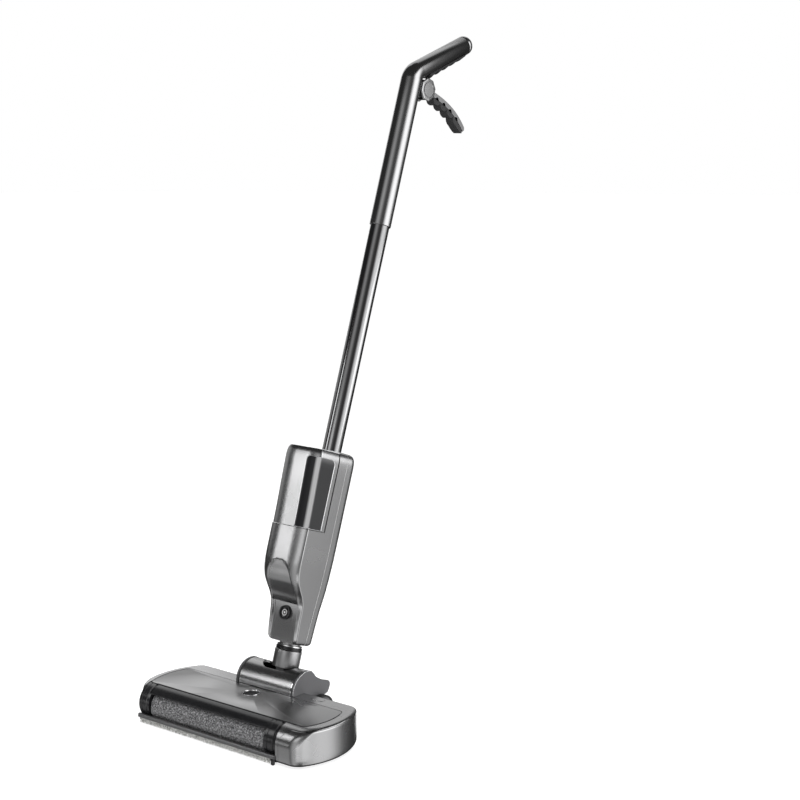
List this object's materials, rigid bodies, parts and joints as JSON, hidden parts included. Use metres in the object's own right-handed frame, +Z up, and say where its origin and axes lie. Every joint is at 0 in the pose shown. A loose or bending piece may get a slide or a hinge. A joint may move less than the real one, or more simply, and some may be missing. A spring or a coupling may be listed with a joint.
{
  "type": "wet dry floor scrubber",
  "caption": "Upright cordless wet and dry floor scrubber: roller head on a two-axis neck, tank body, pole, bent grip and squeeze lever.",
  "frame": {"origin": "middle of the wiper blade's lower edge, on the floor under the head", "axes": "+Z up, -Y the way the head's front faces, +X along the roller towards its drive"},
  "size_m": [0.388, 0.6202, 1.12],
  "materials": {
    "grey_paint": "satin metallic grey",
    "grey_tube": "satin metallic grey",
    "black_tube": "gloss black",
    "dark_grey_plastic": "dark grey",
    "black_gloss": "gloss black",
    "black_plastic": "matt black",
    "black_rubber": "matt black",
    "chrome": "bright",
    "steel": "plain",
    "grey_pile": "short grey microfibre pile",
    "pale_bristle": "pale fringe",
    "smoked_window": "smoked, near black",
    "board_green": "circuit board"
  },
  "bodies": {
    "head": {"head_shell": "grey_paint", "end_cap_left": "grey_paint", "end_cap_right": "grey_paint", "head_base": "black_plastic", "front_lip": "grey_paint", "bristle_strip": "pale_bristle", "front_glide": "black_rubber", "wiper_blade": "black_rubber", "wiper_holder": "black_plastic", "roller_bearing_left": "black_gloss", "roller_bearing_right": "black_gloss", "roller_hood": "black_gloss", "drive_motor": "steel", "drive_belt": "black_rubber", "hinge_bracket_left": "dark_grey_plastic", "hinge_bracket_right": "dark_grey_plastic", "wheel_axle": "steel"},
    "roller": {"roller_core": "black_plastic", "roller_sleeve": "grey_pile", "roller_pulley": "black_plastic"},
    "motor_shaft": {"motor_pulley": "steel"},
    "wheel_left": {"rear_wheel_left": "dark_grey_plastic", "rear_tyre_left": "black_rubber"},
    "wheel_right": {"rear_wheel_right": "dark_grey_plastic", "rear_tyre_right": "black_rubber"},
    "dirty_tank": {"top_cover": "grey_paint", "latch_ring": "chrome", "dirty_water_box": "black_plastic"},
    "latch": {"latch_button": "black_gloss"},
    "release": {"release_button": "grey_paint"},
    "barrel": {"pivot_barrel": "grey_paint", "barrel_end_left": "black_plastic", "barrel_end_right": "black_plastic", "roll_pin": "steel"},
    "stick": {"neck": "grey_paint", "neck_collar": "black_gloss", "neck_ring": "chrome", "front_shell": "grey_paint", "rear_shell": "grey_paint", "power_bezel": "black_gloss", "control_board": "board_green", "battery_pack": "black_plastic", "water_pump": "dark_grey_plastic", "lower_pole": "black_tube", "handle_tube": "grey_tube", "grip_end_cap": "grey_paint", "grip_pad": "black_rubber", "lever_mount": "black_plastic", "hub_pin": "steel", "hub_cap_left": "grey_paint", "hub_cap_right": "grey_paint", "lever_spring": "steel"},
    "power": {"power_button": "dark_grey_plastic"},
    "clean_tank": {"water_tank": "grey_paint", "tank_window": "smoked_window", "tank_valve": "black_rubber"},
    "rod": {"pull_rod": "steel"},
    "lever": {"squeeze_lever": "grey_paint", "lever_pad": "black_rubber"}
  },
  "joints": [
    {"name": "handle_pitch", "type": "hinge", "parent": "head", "child": "barrel", "pos_m": [0.0065, 0.075, 0.061], "axis": [-1, 0, 0], "range_deg": [-17, 62]},
    {"name": "neck_roll", "type": "hinge", "parent": "barrel", "child": "stick", "pos_m": [0.0065, 0.075, 0.061], "axis": [0, 0.9532, -0.3024], "range_deg": [-25, 12]},
    {"name": "roller_spin", "type": "hinge", "parent": "head", "child": "roller", "pos_m": [0, -0.043, 0.027], "axis": [1, 0, 0], "continuous": true},
    {"name": "motor_spin", "type": "hinge", "parent": "head", "child": "motor_shaft", "pos_m": [0, 0.0215, 0.028], "axis": [1, 0, 0], "continuous": true},
    {"name": "wheel_left_spin", "type": "hinge", "parent": "head", "child": "wheel_left", "pos_m": [-0.064, 0.104, 0.0245], "axis": [1, 0, 0], "continuous": true},
    {"name": "wheel_right_spin", "type": "hinge", "parent": "head", "child": "wheel_right", "pos_m": [0.0625, 0.104, 0.0245], "axis": [1, 0, 0], "continuous": true},
    {"name": "cover_lift", "type": "slide", "parent": "head", "child": "dirty_tank", "axis": [0, 0, 1], "range_m": [0, 0.06]},
    {"name": "latch_press", "type": "slide", "parent": "dirty_tank", "child": "latch", "axis": [0, 0, -1], "range_m": [0, 0.002], "stiffness_N_per_m": 400, "springref_m": -0.001},
    {"name": "release_press", "type": "slide", "parent": "head", "child": "release", "axis": [0, 0, -1], "range_m": [0, 0.002], "stiffness_N_per_m": 400, "springref_m": -0.001},
    {"name": "power_press", "type": "slide", "parent": "stick", "child": "power", "axis": [0, 0.9532, -0.3024], "range_m": [0, 0.0015], "stiffness_N_per_m": 400, "springref_m": -0.001},
    {"name": "tank_lift", "type": "slide", "parent": "stick", "child": "clean_tank", "axis": [0.0244, 0.3023, 0.9529], "range_m": [0, 0.08]},
    {"name": "squeeze", "type": "hinge", "parent": "stick", "child": "lever", "pos_m": [0.03147, 0.41824, 1.02398], "axis": [0.9997, -0.0074, -0.0233], "range_deg": [0, 32], "stiffness_Nm_per_rad": 0.2, "springref_deg": -17.19},
    {"name": "rod_pull", "type": "slide", "parent": "stick", "child": "rod", "axis": [0.0244, 0.3023, 0.9529], "range_m": [0, 0.0046]}
  ],
  "couplings": [
    {"joint": "motor_spin", "follows": "roller_spin", "ratio": 1.5},
    {"joint": "rod_pull", "follows": "squeeze", "m_per_rad": 0.008}
  ]
}
